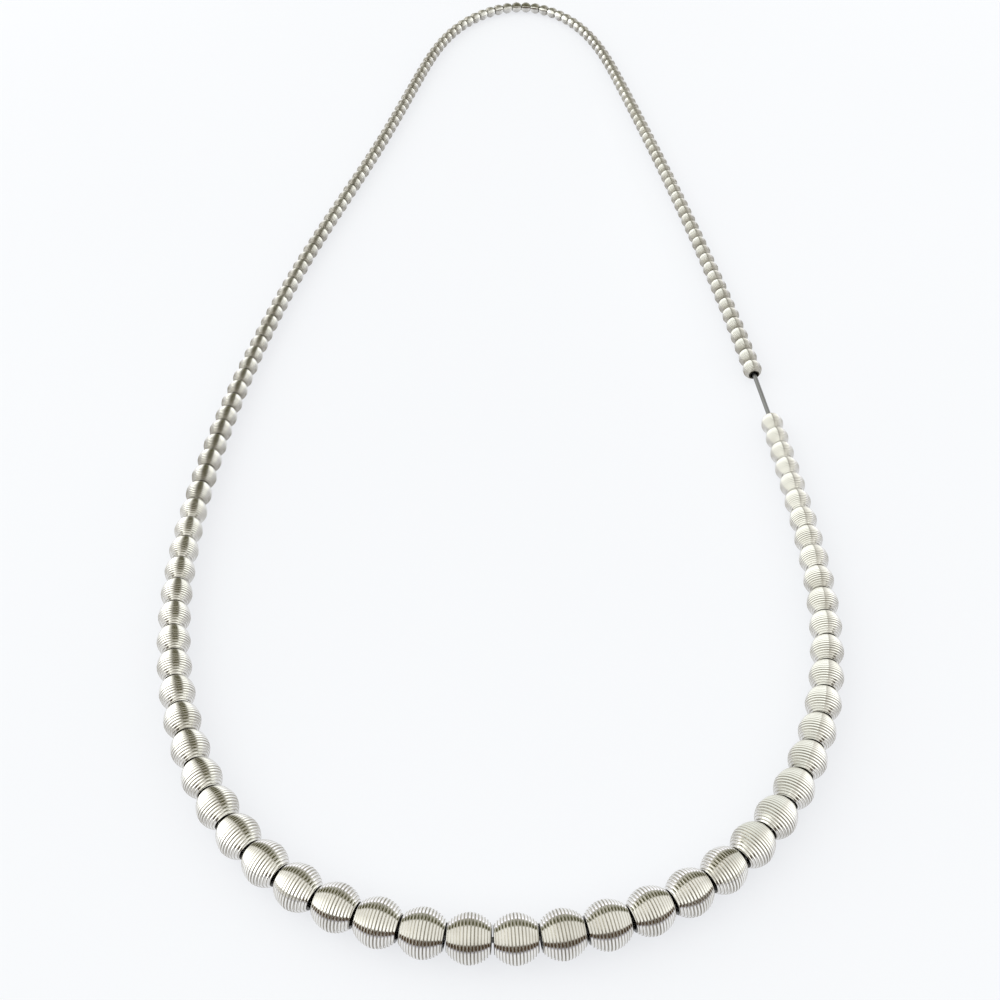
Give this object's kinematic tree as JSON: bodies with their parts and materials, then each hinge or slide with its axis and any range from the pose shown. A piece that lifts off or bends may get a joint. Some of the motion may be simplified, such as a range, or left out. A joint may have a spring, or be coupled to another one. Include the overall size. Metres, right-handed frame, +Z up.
{
  "type": "long necklace of graduated wound-wire beads",
  "caption": "Long slip-on necklace: a closed loop of graduated barrel beads wound from steel wire, strung close on one core wire and lying flat.",
  "frame": {"origin": "middle of the loop's box in plan, at the height of the surface that the necklace lies on", "axes": "+X to the right and +Y from the largest beads at the front to the smallest at the back, along the loop's length; +Z up from the surface"},
  "size_m": [0.1638, 0.3778, 0.01],
  "materials": {
    "bead_steel": "polished round wire, wound close",
    "core_steel": "satin drawn wire"
  },
  "bodies": {
    "root": {"bead_left_01": "bead_steel", "bead_left_02": "bead_steel", "bead_left_03": "bead_steel", "bead_left_04": "bead_steel", "bead_left_05": "bead_steel", "bead_left_06": "bead_steel", "bead_left_07": "bead_steel", "bead_left_08": "bead_steel", "bead_left_09": "bead_steel", "bead_left_10": "bead_steel", "bead_left_11": "bead_steel", "bead_left_12": "bead_steel", "bead_left_13": "bead_steel", "bead_left_14": "bead_steel", "bead_left_15": "bead_steel", "bead_left_16": "bead_steel", "bead_left_17": "bead_steel", "bead_left_18": "bead_steel", "bead_left_19": "bead_steel", "bead_left_20": "bead_steel", "bead_right_01": "bead_steel", "bead_right_02": "bead_steel", "bead_right_03": "bead_steel", "bead_right_04": "bead_steel", "bead_right_05": "bead_steel", "bead_right_06": "bead_steel", "bead_right_07": "bead_steel", "bead_right_08": "bead_steel", "bead_right_09": "bead_steel", "bead_right_10": "bead_steel", "bead_right_11": "bead_steel", "bead_right_12": "bead_steel", "bead_right_13": "bead_steel", "bead_right_14": "bead_steel", "bead_right_15": "bead_steel", "bead_right_16": "bead_steel", "bead_right_17": "bead_steel", "bead_right_18": "bead_steel", "bead_right_19": "bead_steel", "bead_right_20": "bead_steel", "string_side": "bead_steel", "string_back_right": "bead_steel", "string_back_left": "bead_steel", "core_wire": "core_steel", "bare_core": "core_steel"}
  },
  "joints": []
}
